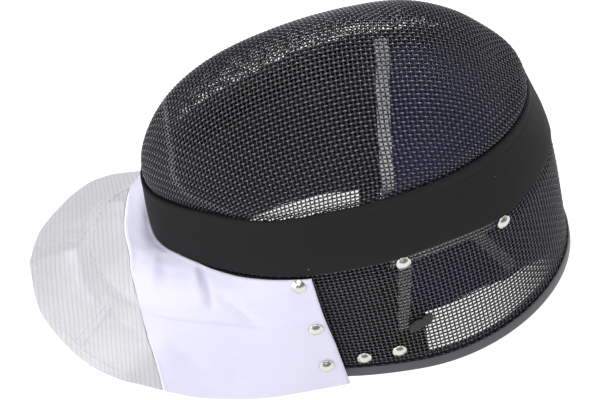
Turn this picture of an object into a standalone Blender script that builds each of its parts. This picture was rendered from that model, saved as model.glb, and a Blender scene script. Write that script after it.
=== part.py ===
import math

import bmesh
import bpy
import numpy as np
from mathutils import Vector

# A fencing mask lying face up: woven wire dome and side wall, seam band, rim trim, cloth bib,
# lining pads and rivets. Driving sizes are in millimetres, and the solids are built in metres.
MM = 0.001
WIRE_WALL = 2.0          # two wires thick
BAND_WALL = 2.4
BIB_WALL = 2.0
PAD_WALL = 12.0
SIDE_PAD_WALL = 7.0
TAPE_WALL = 1.6
GAP = 0.3
EDGE = 0.002             # how far inside a face's own ends its direction is read
TRIM_WIDTH = 4.7
TRIM_HEIGHT = 8.6
SEAM_X = -138.0          # where the conductive panel starts on the bib
APEX_X = 30.0
FULLNESS = 1.28          # how the face rises from the band to its crest; 1 is a plain superellipse

for old in list(bpy.data.objects):
    bpy.data.objects.remove(old, do_unlink=True)

# rings of the wall: level, centre x, reach to crown and chin, half width at side, crown and chin,
# corner power, height at chin, side and crown
RING_COLUMNS = ("level", "cx", "crown", "chin", "half", "half_crown", "half_chin", "power",
                "z_chin", "z_side", "z_crown")
RINGS = [
    (0.0, 20, 140, 130, 92, 92, 92, 2.2, 0, 0, 29),
    (1.0, 8, 130, 137, 87, 78, 87, 2.2, 80, 105, 128),
    (1.6, 0, 118.4, 131.8, 76.6, 79.9, 57.2, 2.2, 120, 150.9, 174.1),
]
# height of the face's centre line along x
RIDGE = [(-150, 124), (-131, 218), (-110, 227.4), (-50, 228.5), (0, 230.4), (40, 226.2), (80, 217.4),
         (108, 207.6), (130, 207.4)]
# bib stations: angle from the chin, hem x, hem half width, hem height, puff, valley
BIB_COLUMNS = ("angle", "hem_x", "hem_y", "hem_z", "puff", "valley")
BIB = [
    (-75, -9.5, 98.6, 0.8, 3, 0),
    (-70, -62, 101.5, 0.8, 4, 0),
    (-65, -100, 99.0, 4, 5, 0),
    (-58, -128, 98.5, 17, 6, 0),
    (-50, -150, 96.5, 28, 8, 1),
    (-40, -170.5, 88.0, 34, 10, 3),
    (-27, -194, 63.0, 39, 12, 7),
    (-13, -209, 33.0, 45, 13, 9),
    (0, -213, 0.0, 49, 13, 10),
]
# rivets, built on both sides: name, the face it stands on, angle, level
RIVETS = [
    ("bib_top", "bib", 71.7, 0.045),
    ("bib_mid", "bib", 73.7, 0.41),
    ("bib_low", "bib", 73.8, 0.78),
    ("band_front", "wall", 276.1, 0.947),
    ("band_back", "wall", 308.6, 0.947),
    ("rim_front", "wall", 263.8, 0.165),
    ("rim_back", "wall", 272.0, 0.19),
]


def through(xs, ys, x):
    """Monotone cubic through the rows."""
    xs, ys, x = np.asarray(xs, float), np.asarray(ys, float), np.asarray(x, float)
    step = np.diff(xs)
    slope = np.diff(ys) / step
    m = np.zeros_like(ys)
    m[0], m[-1] = slope[0], slope[-1]
    for i in range(1, len(xs) - 1):
        if slope[i - 1] * slope[i] > 0:
            a, b = 2 * step[i] + step[i - 1], step[i] + 2 * step[i - 1]
            m[i] = (a + b) / (a / slope[i - 1] + b / slope[i])
    i = np.clip(np.searchsorted(xs, x) - 1, 0, len(xs) - 2)
    t = (x - xs[i]) / step[i]
    return ((2 * t**3 - 3 * t**2 + 1) * ys[i] + (t**3 - 2 * t**2 + t) * step[i] * m[i]
            + (3 * t**2 - 2 * t**3) * ys[i + 1] + (t**3 - t**2) * step[i] * m[i + 1])


def ring(theta, row):
    """One closed ring round the head; theta is 0 at the crown and pi at the chin."""
    c, s = np.cos(theta), np.sin(theta)
    front, back = np.clip(c, 0, 1), np.clip(-c, 0, 1)
    reach = np.where(c > 0, row["crown"], row["chin"])
    half = (row["half"] + (row["half_crown"] - row["half"]) * front
            + (row["half_chin"] - row["half"]) * back)
    bend = 2 / row["power"]
    lift = np.clip((front - 0.15) / 0.85, 0, 1) ** 1.7
    low = np.clip(1 - row["level"], 0, 1)
    rise = front + (lift - front) * low
    up = np.clip((row["level"] - 1) / 0.6, 0, 1)
    belly = np.exp(-((np.degrees(np.arccos(c)) - 114) / 19) ** 2) * up
    foot = np.clip(row["level"], 0, 1) * (1 - up)
    corner = back ** 4 * (1 - back) * 11.5 * foot
    heel = np.exp(-((np.degrees(np.arccos(c)) - 48) / 17) ** 2) * foot
    half = half + 3.6 * belly - 4.6 * corner + 4.2 * heel
    x = row["cx"] + reach * np.sign(c) * np.abs(c) ** bend
    y = half * np.sign(s) * np.abs(s) ** bend
    z = row["z_side"] + (row["z_crown"] - row["z_side"]) * rise + (row["z_chin"] - row["z_side"]) * back
    z = z - 3.7 * belly + 4.8 * corner - 4.4 * heel
    return np.stack([x, y, z], -1)


def wall(theta, level):
    levels = [r[0] for r in RINGS]
    values = {"level": level}
    for i, name in enumerate(RING_COLUMNS[1:], 1):
        values[name] = through(levels, [r[i] for r in RINGS], np.clip(level, 0, 1.6))
    return ring(theta, values)


def dome(theta, phi):
    """The face above the top ring; phi is 0 at the ring and pi/2 at the apex."""
    phi = np.clip(phi, 0, np.pi / 2)
    top = dict(zip(RING_COLUMNS, RINGS[-1]))
    base = ring(theta, top)
    power = 1.76 + 0.48 * np.clip(np.cos(theta), 0, 1) + 0.74 * np.clip(-np.cos(theta), 0, 1) ** 2
    near = np.cos(phi) ** (2 / power)
    high = np.sin(phi) ** (2 * FULLNESS / power)
    x = top["cx"] + (base[..., 0] - top["cx"]) * near + (APEX_X - top["cx"]) * (1 - near)
    crest = through(*zip(*RIDGE), x)
    z = base[..., 2] + (crest - base[..., 2]) * high
    return np.stack([x, base[..., 1] * near, z], -1)


def bib_hem(angle):
    """Where the bib's hem lies at an angle from the chin; the far side hangs closer in."""
    side = np.abs(angle)
    hem = {name: through([r[0] for r in BIB], [r[i] for r in BIB], -side)
           for i, name in enumerate(BIB_COLUMNS) if i}
    far = (angle > 0) * np.clip(side / 12, 0, 1) * np.clip((50 - side) / 35, 0, 1)
    slack = (angle > 0) * np.clip((side - 8) / 16, 0, 1) * np.clip((70 - side) / 12, 0, 1)
    hem["hem_y"] = hem["hem_y"] * (1 - 0.08 * far)
    hem["hem_z"] = hem["hem_z"] * (1 - 0.12 * far)
    hem["puff"] = hem["puff"] * (1 - 0.75 * slack)
    hem["sag"] = 11 * (angle > 0) * np.clip((side - 16) / 18, 0, 1) * np.clip((70 - side) / 10, 0, 1)
    return hem


def bib(angle, level):
    """The bib's outer face: angle in degrees from the chin, level 0 at the band and 1 at the hem."""
    hem = bib_hem(angle)
    top = wall(np.pi - np.radians(angle), 1.0 + 0 * angle)
    out = np.stack([top[..., 0] - 8, top[..., 1], 0 * top[..., 2]], -1)
    out /= np.linalg.norm(out, axis=-1, keepdims=True)
    end = np.stack([hem["hem_x"], hem["hem_y"] * np.sign(angle), hem["hem_z"]], -1)
    stand = 1.9 - 2.6 * np.clip((58 - np.abs(angle)) / 30, 0, 1)[..., None]
    top = top + out * stand - np.array([0, 0, 0.7])
    run = end - top
    along = run / np.linalg.norm(run, axis=-1, keepdims=True)
    lift = out + np.array([0, 0, 1.0])
    lift = lift - (lift * along).sum(-1, keepdims=True) * along
    lift /= np.linalg.norm(lift, axis=-1, keepdims=True)
    swell = hem["puff"] * np.sin(np.pi * np.clip(level / 0.62, 0, 1)) ** 1.2
    swell = swell - 0.7 * hem["valley"] * np.exp(-((level - 0.6) / 0.085) ** 2)
    swell = swell - hem["sag"] * np.sin(np.pi * np.clip(level, 0, 1) ** 0.8)
    return top + run * level[..., None] + lift * swell[..., None]


def normals(face, u, v, step=1e-3):
    """Unit normals of a face function by central differences."""
    du = face(u + step, v) - face(u - step, v)
    dv = face(u, v + step) - face(u, v - step)
    n = np.cross(du, dv)
    return n / np.linalg.norm(n, axis=-1, keepdims=True)


def material(name, rgb, metallic, rough):
    m = bpy.data.materials.new(name)
    m.use_nodes = True
    m.diffuse_color = (*rgb, 1)
    shader = m.node_tree.nodes["Principled BSDF"]
    shader.inputs["Base Color"].default_value = (*rgb, 1)
    shader.inputs["Metallic"].default_value = metallic
    shader.inputs["Roughness"].default_value = rough
    return m


LOOKS = {
    "wire": material("wire", (0.03, 0.03, 0.032), 0.6, 0.4),
    "webbing": material("webbing", (0.022, 0.022, 0.025), 0.0, 0.85),
    "rubber": material("rubber", (0.03, 0.03, 0.033), 0.0, 0.5),
    "white_cloth": material("white_cloth", (0.82, 0.83, 0.95), 0.0, 0.8),
    "lame": material("lame", (0.62, 0.62, 0.64), 0.2, 0.55),
    "navy_cloth": material("navy_cloth", (0.02, 0.022, 0.09), 0.0, 0.85),
    "black_cloth": material("black_cloth", (0.015, 0.015, 0.018), 0.0, 0.85),
    "white_webbing": material("white_webbing", (0.8, 0.8, 0.82), 0.0, 0.8),
    "plastic": material("plastic", (0.02, 0.02, 0.022), 0.0, 0.45),
    "nickel": material("nickel", (0.72, 0.71, 0.69), 1.0, 0.2),
}
home = bpy.data.collections.new("fencing_mask")
bpy.context.scene.collection.children.link(home)
stand = bpy.data.objects.new("mask_origin", None)
home.objects.link(stand)


def solid(name, points, faces, look):
    """A mesh object from points in millimetres, with points that meet joined."""
    mesh = bpy.data.meshes.new(name)
    mesh.from_pydata([tuple(p) for p in np.asarray(points) * MM], [], faces)
    bm = bmesh.new()
    bm.from_mesh(mesh)
    bmesh.ops.remove_doubles(bm, verts=bm.verts[:], dist=1e-7)
    bm.to_mesh(mesh)
    bm.free()
    mesh.materials.append(LOOKS[look])
    obj = bpy.data.objects.new(name, mesh)
    obj.parent = stand
    home.objects.link(obj)
    return obj


def grid_faces(across, along, closed=False):
    """Quads over a grid of points, open or closed in its first direction."""
    place = np.arange(across * along).reshape(across, along)
    if closed:
        place = np.concatenate([place, place[:1]])
    quads = np.stack([place[:-1, :-1], place[1:, :-1], place[1:, 1:], place[:-1, 1:]], -1)
    return quads.reshape(-1, 4).tolist()


def shell(name, face, u, v, wall_thick, look, tuck=0.0, closed=False, soft=0.0):
    """A wall grown inwards from a face over a grid of u and v, with its skin tucked in under it."""
    U, V = np.meshgrid(u, v, indexing="ij")
    out = normals(face, U, np.clip(V, v[0] + EDGE, v[-1] - EDGE))
    skin = face(U, V) - out * np.broadcast_to(tuck, U.shape)[..., None]
    obj = solid(name, skin.reshape(-1, 3), grid_faces(len(u), len(v), closed), look)
    grown = obj.modifiers.new("wall", "SOLIDIFY")
    grown.thickness = wall_thick * MM
    if soft:
        edge = obj.modifiers.new("soft edge", "BEVEL")
        edge.width, edge.segments = soft * MM, 2
        edge.angle_limit = math.radians(50)
    return obj


# woven steel face: a thin domed wall whose edge tucks under the band
theta = np.radians(np.arange(0, 360, 7.5))
phi = np.radians(np.concatenate([[0.5], np.linspace(6, 82, 10), [90]]))
tuck = 2.9 * np.clip(1 - phi / np.radians(14), 0, 1) ** 2
shell("face_mesh", dome, theta, phi, WIRE_WALL, "wire", tuck, closed=True)

# woven steel side wall, from inside the trim to just under the face's edge
level = np.array([0.03, 0.2, 0.45, 0.7, 0.9, 1.02, 1.52])
tuck = 1.2 + 1.8 * np.clip((level - 0.9) / 0.12, 0, 1)
shell("side_mesh", wall, theta, level, WIRE_WALL, "wire", tuck, closed=True)

# broad band over the joint of the two meshes
shell("seam_band", wall, theta, np.linspace(1.0, 1.6, 5), BAND_WALL, "webbing", closed=True)

# U-section edging round the head opening; its flat underside is what the mask rests on
half = TRIM_WIDTH / 2
slot = WIRE_WALL / 2 + GAP
centre = 1.2 + WIRE_WALL / 2
SECTION = [(-half + 0.6, 0), (half - 0.6, 0), (half, 0.6), (half, TRIM_HEIGHT - 0.5),
           (half - 0.5, TRIM_HEIGHT), (slot, TRIM_HEIGHT), (slot, 2.2), (-slot, 2.2),
           (-slot, TRIM_HEIGHT), (-half + 0.5, TRIM_HEIGHT), (-half, TRIM_HEIGHT - 0.5), (-half, 0.6)]
side = wall(theta, 0.0 * theta)
flat = normals(wall, theta, 0.02 + 0 * theta) * (1, 1, 0)
flat /= np.linalg.norm(flat, axis=-1, keepdims=True)
lean = wall(theta, 0.08 + 0 * theta) - side
lean /= lean[:, 2:]
rings = np.stack([side + flat * (across - centre) + lean * up for across, up in SECTION], 1)
rings = np.concatenate([rings, rings[:, :1]], 1)
solid("rim_trim", rings.reshape(-1, 3), grid_faces(*rings.shape[:2], closed=True), "rubber")

# padded bib: a skirt from the band down to its hem, cut in two along the sewn seam
turn = np.concatenate([np.linspace(-75, -52, 9), np.linspace(-48, 48, 25), np.linspace(52, 75, 9)])
level = np.array([0, 0.06, 0.15, 0.25, 0.36, 0.46, 0.53, 0.6, 0.67, 0.76, 0.88, 1.0])
for name, look, front in (("bib_lame", "lame", True), ("bib_white", "white_cloth", False)):
    panel = shell(name, bib, turn, level, BIB_WALL, look)
    bm = bmesh.new()
    bm.from_mesh(panel.data)
    bmesh.ops.bisect_plane(bm, geom=bm.verts[:] + bm.edges[:] + bm.faces[:], dist=1e-7,
                           plane_co=((SEAM_X + (-GAP if front else GAP)) * MM, 0, 0), plane_no=(1, 0, 0),
                           clear_outer=front, clear_inner=not front)
    bm.to_mesh(panel.data)
    bm.free()

# the two strips that run down the far wall over the pads' ends: where they lie at the rim
STRIP_LEAN = 5.9
BINDING_X = (25.0, 42.0)
STRAP_X = (42.6, 52.6)
STRIP_LEVELS = (1.53, 0.10)
STRIP_OVER = (12.6, 3.4)  # how far back and up the strips go over the pads' top
STRIP_INSET = 19.4
STRIP_END_Y = 45.0
STRIP_SLANT = 0.16

# lining: a thick pad round the crown and a thinner one on each cheek; the pads meet behind the
# black strip. The crown pad's lower edge is a table of degrees from the crown and wall level.
PAD_LOW = [(-84, 0.50), (-62, 0.46), (-50, 0.36), (-42, 0.32), (-35, 0.23), (-25, 0.15), (0, 0.11),
           (40, 0.03), (100, 0.005)]
PAD_HIGH = 1.53
PAD_NEAR_END = -83.1
PAD_JOINT_X = 33.5
CROWN_INSET, CHEEK_INSET, FAR_CHEEK_INSET = 7.0, 6.9, 12.0
CHEEK_ENDS = (276.3, 280.0)  # the near cheek pad's end above and below the crown pad's corner


def angle_at(x, level):
    """The wall's angle on its far side where it passes a given x."""
    cx, reach, power = (through([r[0] for r in RINGS], [r[i] for r in RINGS], np.clip(level, 0, 1.6))
                        for i in (1, 2, 7))
    return np.arccos(np.clip((x - cx) / reach, 0, 1) ** (power / 2))


def far_strip(x, run):
    """A strip over the pads' top, -1 to 0, down the far wall, 0 to 1, and loose on the floor, 1 to 2."""
    level = STRIP_LEVELS[0] + (STRIP_LEVELS[1] - STRIP_LEVELS[0]) * np.clip(run, 0, 1)
    angle = angle_at(x - STRIP_LEAN * level, level)
    back = np.clip(-run, 0, 1)
    inset = STRIP_INSET - STRIP_OVER[0] * back
    at = wall(angle, level) - normals(wall, angle, level) * inset[..., None]
    at[..., 2] += STRIP_OVER[1] * np.sin(np.pi / 2 * np.clip(2.5 * back, 0, 1))
    t = np.clip(run - 1, 0, 1)
    y = at[..., 1] * (1 - t) ** 2 + (at[..., 1] + 1) * 2 * t * (1 - t) + STRIP_END_Y * t ** 2
    z = at[..., 2] * (1 - t) ** 2 + GAP * (2 * t - t ** 2)
    return np.stack([at[..., 0] - STRIP_SLANT * (at[..., 1] - y), y, z], -1)


def crown_face(across, high):
    """The wall behind the crown pad: across from -1 at the near end to 1 at the far one."""
    low = through(*zip(*PAD_LOW), np.where(across > 0, across * 84, -across * PAD_NEAR_END))
    level = low + (PAD_HIGH - low) * high
    far_end = angle_at(PAD_JOINT_X + 1.5 - STRIP_LEAN * level, level)
    return wall(across * np.where(across > 0, far_end, -math.radians(PAD_NEAR_END)), level)


def cheek_far(share, level):
    """The far wall from the joint with the crown pad, 0, round towards the chin, 1."""
    start = angle_at(PAD_JOINT_X - STRIP_LEAN * level, level)
    return wall(start + (np.radians(165) - start) * share, level)


def cheek_near(share, level):
    """The near wall from the chin round to the crown pad, which it passes under."""
    end = CHEEK_ENDS[0] + (CHEEK_ENDS[1] - CHEEK_ENDS[0]) * np.clip((0.49 - level) / 0.03, 0, 1)
    return wall(np.radians(195 + (end - 195) * share), level)


def near_strap(share, level):
    """The near wall behind the upright tape, which leans and narrows downwards."""
    return wall(np.radians(271.2 + 4.1 * level + share * (2.0 + 2.0 * level)), level)


shell("crown_pad", crown_face, np.linspace(-1, 1, 31), np.linspace(0, 1, 9), PAD_WALL, "navy_cloth",
      CROWN_INSET, soft=4.0)
shell("side_pad_far", cheek_far, np.linspace(0, 1, 15), np.linspace(0.05, 1.36, 9), SIDE_PAD_WALL,
      "black_cloth", FAR_CHEEK_INSET, soft=2.5)
shell("side_pad_near", cheek_near, np.linspace(0, 1, 17),
      np.array([0.02, 0.15, 0.3, 0.455, 0.495, 0.7, 0.92, 1.14, 1.36]), SIDE_PAD_WALL, "black_cloth",
      CHEEK_INSET, soft=2.5)

# narrow webbing: two strips on the far wall, three on the near one, and a clip
run = np.concatenate([[-1, -0.6, -0.3, -0.12], np.linspace(0, 1, 11), [1.15, 1.3, 1.5, 1.75, 2.0]])
shell("pad_binding", far_strip, np.linspace(*BINDING_X, 4), run, TAPE_WALL, "black_cloth")
shell("strap_far", far_strip, np.linspace(*STRAP_X, 4), run, TAPE_WALL, "white_webbing")
shell("strap_near", near_strap, np.linspace(0, 1, 8), np.linspace(0.33, 0.865, 6), TAPE_WALL,
      "white_webbing", 4.6)
shell("band_tape", wall, np.radians(np.linspace(273, 309, 8)), np.linspace(0.88, 0.965, 6), TAPE_WALL,
      "white_webbing", 4.8)
# the clip is the one lining piece outside the wire
shell("strap_clip", wall, np.radians(np.linspace(275.4, 281.2, 8)), np.linspace(0.365, 0.485, 6), 2.0,
      "plastic", -1.1, soft=0.8)

# rivets: the same turned cap, with a domed head over a flat base
CAP_PROFILE = [(0.0, 2.4), (2.64, 2.1), (4.13, 1.35), (4.8, 0.5), (4.8, 0.0), (0.0, 0.0)]
cap = bpy.data.meshes.new("rivet_cap")
cap.from_pydata([(r * MM, 0, z * MM) for r, z in CAP_PROFILE], [(i, i + 1) for i in range(len(CAP_PROFILE) - 1)],
                [])
cap.materials.append(LOOKS["nickel"])
for name, where, angle, height in RIVETS:
    for label, sign in (("near", -1), ("far", 1)):
        if where == "bib":
            face, u, rise = bib, np.array(sign * angle), 0.45
        else:
            face, u, rise = wall, np.radians(np.array(angle if sign < 0 else 360 - angle)), -0.75
        out = normals(face, u, np.array(height))
        if out[1] * sign < 0:
            out = -out
        rivet = bpy.data.objects.new(f"rivet_{name}_{label}", cap)
        rivet.location = (face(u, np.array(height)) + out * rise) * MM
        rivet.rotation_mode = "QUATERNION"
        rivet.rotation_quaternion = Vector(out).to_track_quat("Z", "Y")
        turned = rivet.modifiers.new("turned", "SCREW")
        turned.steps = turned.render_steps = 14
        turned.use_merge_vertices = True
        turned.merge_threshold = 1e-5
        rivet.parent = stand
        home.objects.link(rivet)

# stand it on the floor with the middle of its outline over the origin
bpy.context.view_layer.update()
graph = bpy.context.evaluated_depsgraph_get()
corners = np.array([obj.matrix_world @ Vector(c) for obj in stand.children
                    for c in obj.evaluated_get(graph).bound_box])
low, high = corners.min(0), corners.max(0)
stand.location = (-(low[0] + high[0]) / 2, -(low[1] + high[1]) / 2, -low[2])
print("shift_mm", np.array(stand.location) / MM, "size_mm", (high - low) / MM)
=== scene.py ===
import math

import bpy
import numpy as np
from mathutils import Matrix


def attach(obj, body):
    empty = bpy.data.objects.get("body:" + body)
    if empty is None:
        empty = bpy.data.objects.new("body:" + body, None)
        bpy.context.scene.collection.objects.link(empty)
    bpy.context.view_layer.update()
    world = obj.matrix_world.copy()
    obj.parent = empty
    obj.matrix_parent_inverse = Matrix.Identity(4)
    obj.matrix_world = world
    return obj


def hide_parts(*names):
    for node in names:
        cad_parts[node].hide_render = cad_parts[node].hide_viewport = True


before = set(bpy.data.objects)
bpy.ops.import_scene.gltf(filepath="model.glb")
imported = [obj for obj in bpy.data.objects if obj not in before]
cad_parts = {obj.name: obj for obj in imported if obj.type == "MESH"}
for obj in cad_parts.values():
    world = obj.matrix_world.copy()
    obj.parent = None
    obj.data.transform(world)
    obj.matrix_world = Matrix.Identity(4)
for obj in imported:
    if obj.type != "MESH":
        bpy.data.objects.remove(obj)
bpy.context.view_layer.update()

# The face is plain-woven steel wire, pressed into a deep dome and dipped in black enamel.
# Where it is pressed its cells keep the length of their sides and lean into diamonds, and its
# wires run on down behind the band, which holds them.
CENTRE_SHIFT = 26.490
WIRE_RADIUS, WIRE_SIDES = 0.54, 5
PITCH_ALONG, PITCH_ACROSS = 2.85, 2.74
CRIMP, FLAT = 0.46, 0.15
APEX_X, FULLNESS = 30.0, 1.28
FACE_POWER, CROWN_POWER, CHIN_POWER = 1.76, 0.48, 0.74
SKIRT_DROP, SKIRT_END = 50, 1.06
NET_START_X = 82.0
TO_CHIN, TO_CROWN, TO_SIDE = 98, 34, 48
RING_COLUMNS = ("level", "cx", "crown", "chin", "half", "half_crown", "half_chin", "power",
                "z_chin", "z_side", "z_crown")
RINGS = [
    (0.0, 20, 140, 130, 92, 92, 92, 2.2, 0, 0, 29),
    (1.0, 8, 130, 137, 87, 78, 87, 2.2, 80, 105, 128),
    (1.6, 0, 118.4, 131.8, 76.6, 79.9, 57.2, 2.2, 120, 150.9, 174.1),
]
TOP_LEVEL = 1.6
# The wall is no plain oval. A belly and a heel swell it out and down, in degrees from the crown
# and in millimetres, and its corners by the chin are drawn in and up.
BELLY_AT, BELLY_SPREAD, BELLY_OUT, BELLY_DROP = 114, 19, 3.6, 3.7
HEEL_AT, HEEL_SPREAD, HEEL_OUT, HEEL_DROP = 48, 17, 4.2, 4.4
CORNER_PEAK, CORNER_IN, CORNER_RISE = 11.5, 4.6, 4.8
LIFT_START, LIFT_POWER = 0.15, 1.7
RIDGE = [(-150, 124), (-131, 218), (-110, 227.4), (-50, 228.5), (0, 230.4), (40, 226.2), (80, 217.4),
         (108, 207.6), (130, 207.4)]


def through(xs, ys, x):
    """Monotone cubic through the rows."""
    xs, ys, x = np.asarray(xs, float), np.asarray(ys, float), np.asarray(x, float)
    step = np.diff(xs)
    slope = np.diff(ys) / step
    m = np.zeros_like(ys)
    m[0], m[-1] = slope[0], slope[-1]
    for i in range(1, len(xs) - 1):
        if slope[i - 1] * slope[i] > 0:
            a, b = 2 * step[i] + step[i - 1], step[i] + 2 * step[i - 1]
            m[i] = (a + b) / (a / slope[i - 1] + b / slope[i])
    i = np.clip(np.searchsorted(xs, x) - 1, 0, len(xs) - 2)
    t = (x - xs[i]) / step[i]
    return ((2 * t**3 - 3 * t**2 + 1) * ys[i] + (t**3 - 2 * t**2 + t) * step[i] * m[i]
            + (3 * t**2 - 2 * t**3) * ys[i + 1] + (t**3 - t**2) * step[i] * m[i + 1])


def unit(v):
    """Vectors made one long."""
    return v / np.linalg.norm(v, axis=-1, keepdims=True)


def ramp(x, start, stop):
    """0 at the start, rising evenly to 1 at the stop, and level outside them."""
    return np.clip((x - start) / (stop - start), 0, 1)


def hill(x, middle, width):
    """A soft hill, 1 at its middle."""
    return np.exp(-((x - middle) / width) ** 2)


def ring(theta, row):
    """One closed ring round the head; theta is 0 at the crown and pi at the chin."""
    c, s = np.cos(theta), np.sin(theta)
    front, back = np.clip(c, 0, 1), np.clip(-c, 0, 1)
    reach = np.where(c > 0, row["crown"], row["chin"])
    half = (row["half"] + (row["half_crown"] - row["half"]) * front
            + (row["half_chin"] - row["half"]) * back)
    bend = 2 / row["power"]
    lift = ramp(front, LIFT_START, 1) ** LIFT_POWER
    low = np.clip(1 - row["level"], 0, 1)
    rise = front + (lift - front) * low
    up = ramp(row["level"], 1, TOP_LEVEL)
    foot = np.clip(row["level"], 0, 1) * (1 - up)
    belly = hill(np.degrees(np.arccos(c)), BELLY_AT, BELLY_SPREAD) * up
    heel = hill(np.degrees(np.arccos(c)), HEEL_AT, HEEL_SPREAD) * foot
    corner = back ** 4 * (1 - back) * CORNER_PEAK * foot
    half = half + BELLY_OUT * belly - CORNER_IN * corner + HEEL_OUT * heel
    x = row["cx"] + reach * np.sign(c) * np.abs(c) ** bend
    y = half * np.sign(s) * np.abs(s) ** bend
    z = row["z_side"] + (row["z_crown"] - row["z_side"]) * rise + (row["z_chin"] - row["z_side"]) * back
    return np.stack([x, y, z - BELLY_DROP * belly + CORNER_RISE * corner - HEEL_DROP * heel], -1)


def pressed_face(u, v):
    """The face from above: the middle is at 0, 0, the band at a distance of 1 and a skirt past it."""
    theta, away = np.arctan2(v, u), np.hypot(u, v)
    rise = (1 - away) * np.pi / 2
    top = dict(zip(RING_COLUMNS, RINGS[-1]))
    base = ring(theta, top)
    power = (FACE_POWER + CROWN_POWER * np.clip(np.cos(theta), 0, 1)
             + CHIN_POWER * np.clip(-np.cos(theta), 0, 1) ** 2)
    a = np.clip(rise, 0, np.pi / 2)
    scale = (np.cos(a) ** power + np.sin(a) ** power) ** (-1 / power)
    near, high = scale * np.cos(a), (scale * np.sin(a)) ** FULLNESS
    x = top["cx"] + (base[..., 0] - top["cx"]) * near + (APEX_X - top["cx"]) * (1 - near)
    crest = through(*zip(*RIDGE), x)
    z = base[..., 2] + (crest - base[..., 2]) * high + SKIRT_DROP * np.minimum(rise, 0)
    return np.stack([x, base[..., 1] * near, z], -1)


def settle(guess, miss, step=1e-5, rounds=7, longest=0.04):
    """Newton's steps on two coordinates until both of the misses vanish."""
    for _ in range(rounds):
        here = miss(guess)
        du = (miss(guess + (step, 0)) - here) / step
        dv = (miss(guess + (0, step)) - here) / step
        det = du[..., 0] * dv[..., 1] - du[..., 1] * dv[..., 0]
        turn = np.stack([here[..., 0] * dv[..., 1] - here[..., 1] * dv[..., 0],
                         here[..., 1] * du[..., 0] - here[..., 0] * du[..., 1]], -1)
        guess = guess - np.clip(turn / det[..., None], -longest, longest)
    return guess


def quarter(way, rows, columns):
    """A quarter of the cloth's crossings, laid outwards from two straight wires."""
    uv = np.zeros((rows + 1, columns + 1, 2))
    at = np.zeros((rows + 1, columns + 1, 3))
    line = np.linspace(0, 1, 400)
    uv[0, 0, 0] = np.interp(NET_START_X, pressed_face(line, 0 * line)[:, 0], line)
    at[0, 0] = pressed_face(*uv[0, 0])
    for i in range(1, rows + 1):
        uv[i, 0] = settle(uv[i - 1, 0] + (way * 0.02, 0), lambda q: np.stack(
            [np.linalg.norm(pressed_face(q[0], q[1]) - at[i - 1, 0]) - PITCH_ALONG, q[1] * 90]))
        at[i, 0] = pressed_face(*uv[i, 0])
    for j in range(1, columns + 1):
        uv[0, j] = settle(uv[0, j - 1] + (0, 0.03), lambda q: np.stack(
            [np.linalg.norm(pressed_face(q[0], q[1]) - at[0, j - 1]) - PITCH_ACROSS,
             pressed_face(q[0], q[1])[0] - NET_START_X]))
        at[0, j] = pressed_face(*uv[0, j])
    for total in range(2, rows + columns + 1):
        i = np.arange(max(1, total - columns), min(rows, total - 1) + 1)
        j = total - i
        a, b = at[i - 1, j], at[i, j - 1]
        uv[i, j] = settle(uv[i - 1, j] + uv[i, j - 1] - uv[i - 1, j - 1], lambda q: np.stack(
            [np.linalg.norm(pressed_face(q[:, 0], q[:, 1]) - a, axis=1) - PITCH_ALONG,
             np.linalg.norm(pressed_face(q[:, 0], q[:, 1]) - b, axis=1) - PITCH_ACROSS], -1))
        at[i, j] = pressed_face(uv[i, j, 0], uv[i, j, 1])
    return uv


def crimped(nodes, out, over, crimp=CRIMP, hoop=False):
    """A woven wire's line: flat over each crossing, then down to pass under the next."""
    along = np.roll(nodes, -1, 0) - np.roll(nodes, 1, 0) if hoop else np.gradient(nodes, axis=0) * 2
    high = nodes + out * (crimp * over)[:, None]
    flat = along * FLAT / 2
    return (np.stack([high - flat, high + flat], 1).reshape(-1, 3), np.repeat(out, 2, axis=0),
            np.repeat(over, 2))


def wires(lines, radius=WIRE_RADIUS, hoops=False):
    """Round wires swept along lines: their points, the faces between them, and for each point how
    far it is over its crossing and how far round to the outside."""
    turn = np.linspace(0, 2 * np.pi, WIRE_SIDES, endpoint=False)
    points, faces, wear_and_glint, first = [], [], [], 0
    for line, up, over in lines:
        along = (np.roll(line, -1, 0) - np.roll(line, 1, 0)) if hoops else np.gradient(line, axis=0)
        along = unit(along)
        across = unit(np.cross(up, along))
        top = np.cross(along, across)
        tube = line[:, None] + radius * (np.cos(turn)[:, None] * across[:, None]
                                         + np.sin(turn)[:, None] * top[:, None])
        n = len(line)
        i, k = np.meshgrid(np.arange(n if hoops else n - 1), np.arange(WIRE_SIDES), indexing="ij")
        here, after, beside = i * WIRE_SIDES, (i + 1) % n * WIRE_SIDES, (k + 1) % WIRE_SIDES
        quads = np.stack([here + k, after + k, after + beside, here + beside], -1).reshape(-1, 4)
        faces.append(first + quads[:, ::-1])
        points.append(tube.reshape(-1, 3))
        wear_and_glint.append(np.stack(np.broadcast_arrays(over[:, None], np.sin(turn)), -1).reshape(-1, 2))
        first += n * WIRE_SIDES
    return np.concatenate(points), np.concatenate(faces), np.concatenate(wear_and_glint)


class Link:
    """A value on its way through a finish; sums and products of it are worked out there."""

    def __init__(self, finish, socket):
        self.finish, self.socket = finish, socket

    def worked(self, operation, *values):
        return self.finish.node("Math", {"operation": operation}, dict(enumerate(values)))

    def __add__(self, other):
        return self.worked("ADD", self, other)

    def __sub__(self, other):
        return self.worked("SUBTRACT", self, other)

    def __rsub__(self, other):
        return self.worked("SUBTRACT", other, self)

    def __mul__(self, other):
        return self.worked("MULTIPLY", self, other)

    def over(self, edge):
        return self.worked("GREATER_THAN", self, edge)

    def wave(self):
        return self.worked("SINE", self)

    __radd__ = __add__


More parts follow.
